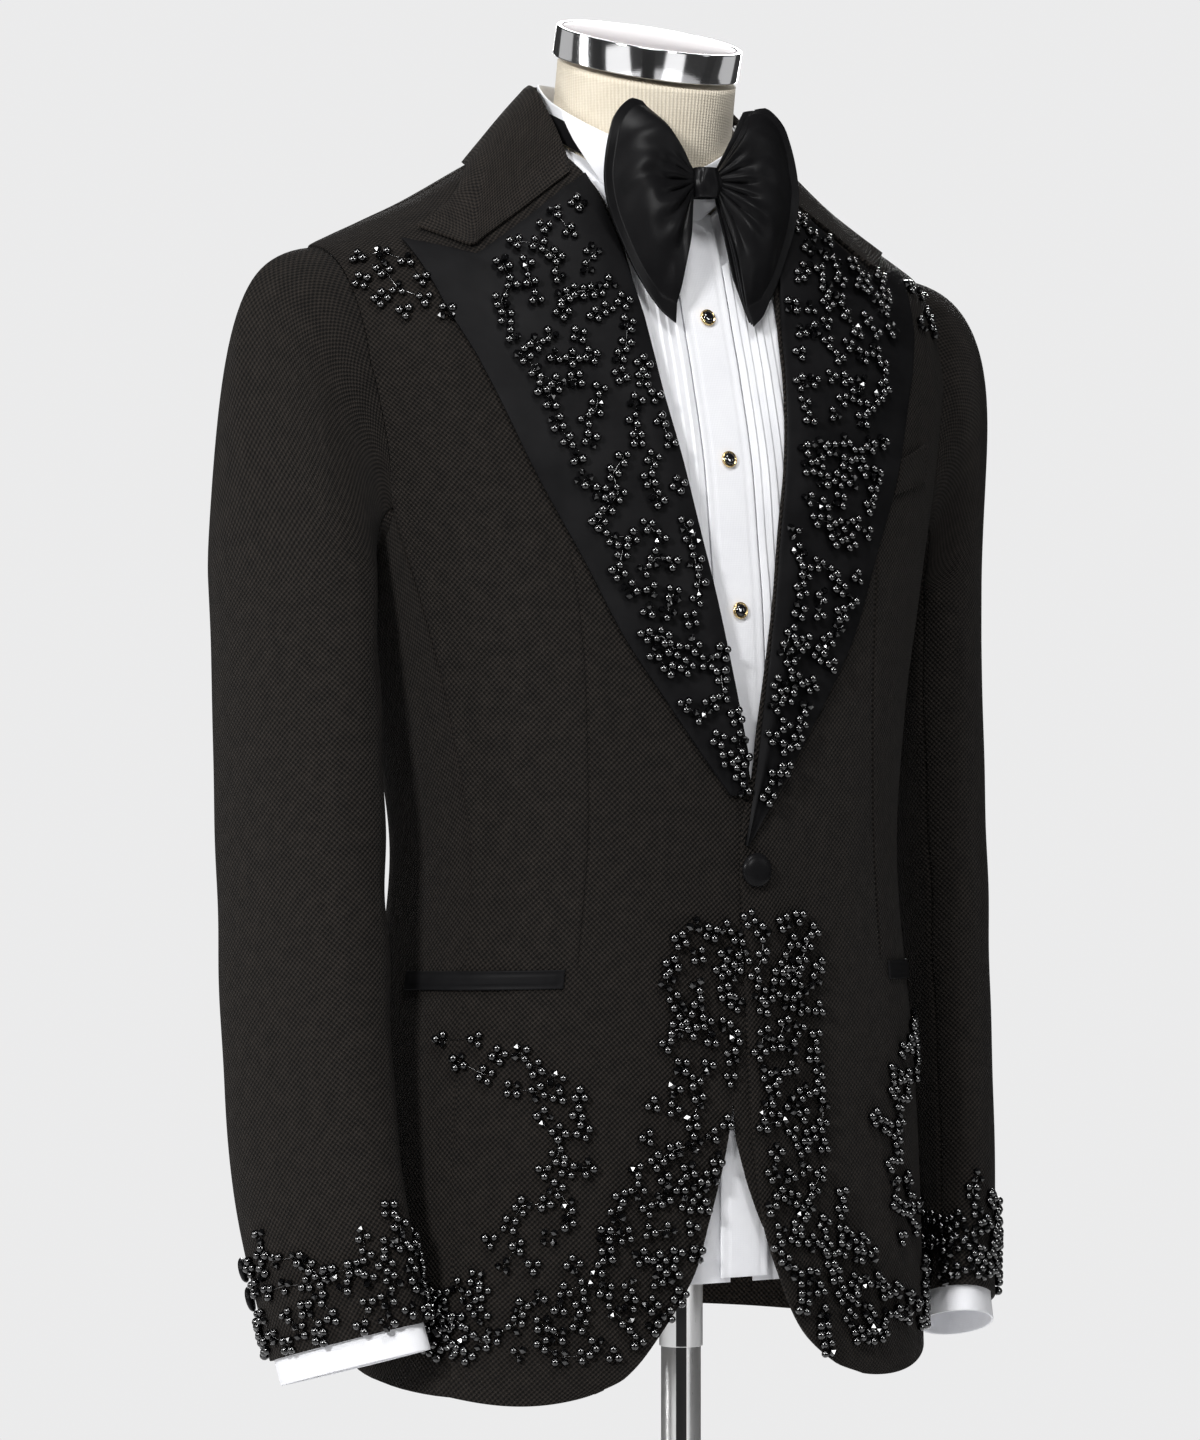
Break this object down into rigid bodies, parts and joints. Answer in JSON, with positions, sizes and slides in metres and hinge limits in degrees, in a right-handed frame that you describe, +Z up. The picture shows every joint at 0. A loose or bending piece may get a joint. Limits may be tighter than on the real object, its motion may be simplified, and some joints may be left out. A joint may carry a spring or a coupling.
{
  "type": "tuxedo on dress form",
  "caption": "Slim black dinner jacket with beaded peak lapels over a pleated white shirt and a large bow tie, on a cream dress form with a chrome pole and round base.",
  "frame": {"origin": "centre of the round base's underside, on the floor", "axes": "+Z up along the pole, -Y towards the front of the jacket, +X towards the wearer's left"},
  "size_m": [0.5244, 0.36, 1.6232],
  "materials": {
    "jacket_cloth": "matt brown-black birdseye cloth",
    "satin": "black satin",
    "shirt_cotton": "fine white cotton",
    "onyx": "polished black stone",
    "gold_rim": "polished",
    "jersey": "cream ribbed jersey",
    "chrome": "polished",
    "base_steel": "brushed"
  },
  "bodies": {
    "stand": {"form_base": "base_steel", "form_post": "chrome"},
    "form": {"bow_back_wing_left": "satin", "bow_back_wing_right": "satin", "bow_band": "satin", "bow_knot": "satin", "bow_wing_left": "satin", "bow_wing_right": "satin", "breast_welt": "jacket_cloth", "cuff_button_lower_left": "satin", "cuff_button_lower_right": "satin", "cuff_button_upper_left": "satin", "cuff_button_upper_right": "satin", "form_neck_band": "chrome", "form_neck_cap": "jersey", "form_pole_upper": "chrome", "form_torso": "jersey", "front_button": "satin", "hip_welt_left": "satin", "hip_welt_right": "satin", "jacket_back_left": "jacket_cloth", "jacket_back_right": "jacket_cloth", "jacket_collar": "jacket_cloth", "jacket_front_left": "jacket_cloth", "jacket_front_right": "jacket_cloth", "jacket_side_left": "jacket_cloth", "jacket_side_right": "jacket_cloth", "lapel_left": "satin", "lapel_right": "satin", "shirt_back": "shirt_cotton", "shirt_bib_left": "shirt_cotton", "shirt_bib_right": "shirt_cotton", "shirt_collar_band": "shirt_cotton", "shirt_cuff_left": "shirt_cotton", "shirt_cuff_right": "shirt_cotton", "shirt_front_left": "shirt_cotton", "shirt_front_right": "shirt_cotton", "shirt_placket": "shirt_cotton", "shirt_sleeve_left": "shirt_cotton", "shirt_sleeve_right": "shirt_cotton", "shirt_wing_left": "shirt_cotton", "shirt_wing_right": "shirt_cotton", "sleeve_top_left": "jacket_cloth", "sleeve_top_right": "jacket_cloth", "sleeve_under_left": "jacket_cloth", "sleeve_under_right": "jacket_cloth", "stud_rim_bottom": "gold_rim", "stud_rim_middle": "gold_rim", "stud_rim_top": "gold_rim", "stud_stone_bottom": "onyx", "stud_stone_middle": "onyx", "stud_stone_top": "onyx"}
  },
  "joints": [
    {"name": "height_slide", "type": "slide", "parent": "stand", "child": "form", "axis": [0, 0, 1], "range_m": [-0.1, 0.2]}
  ]
}
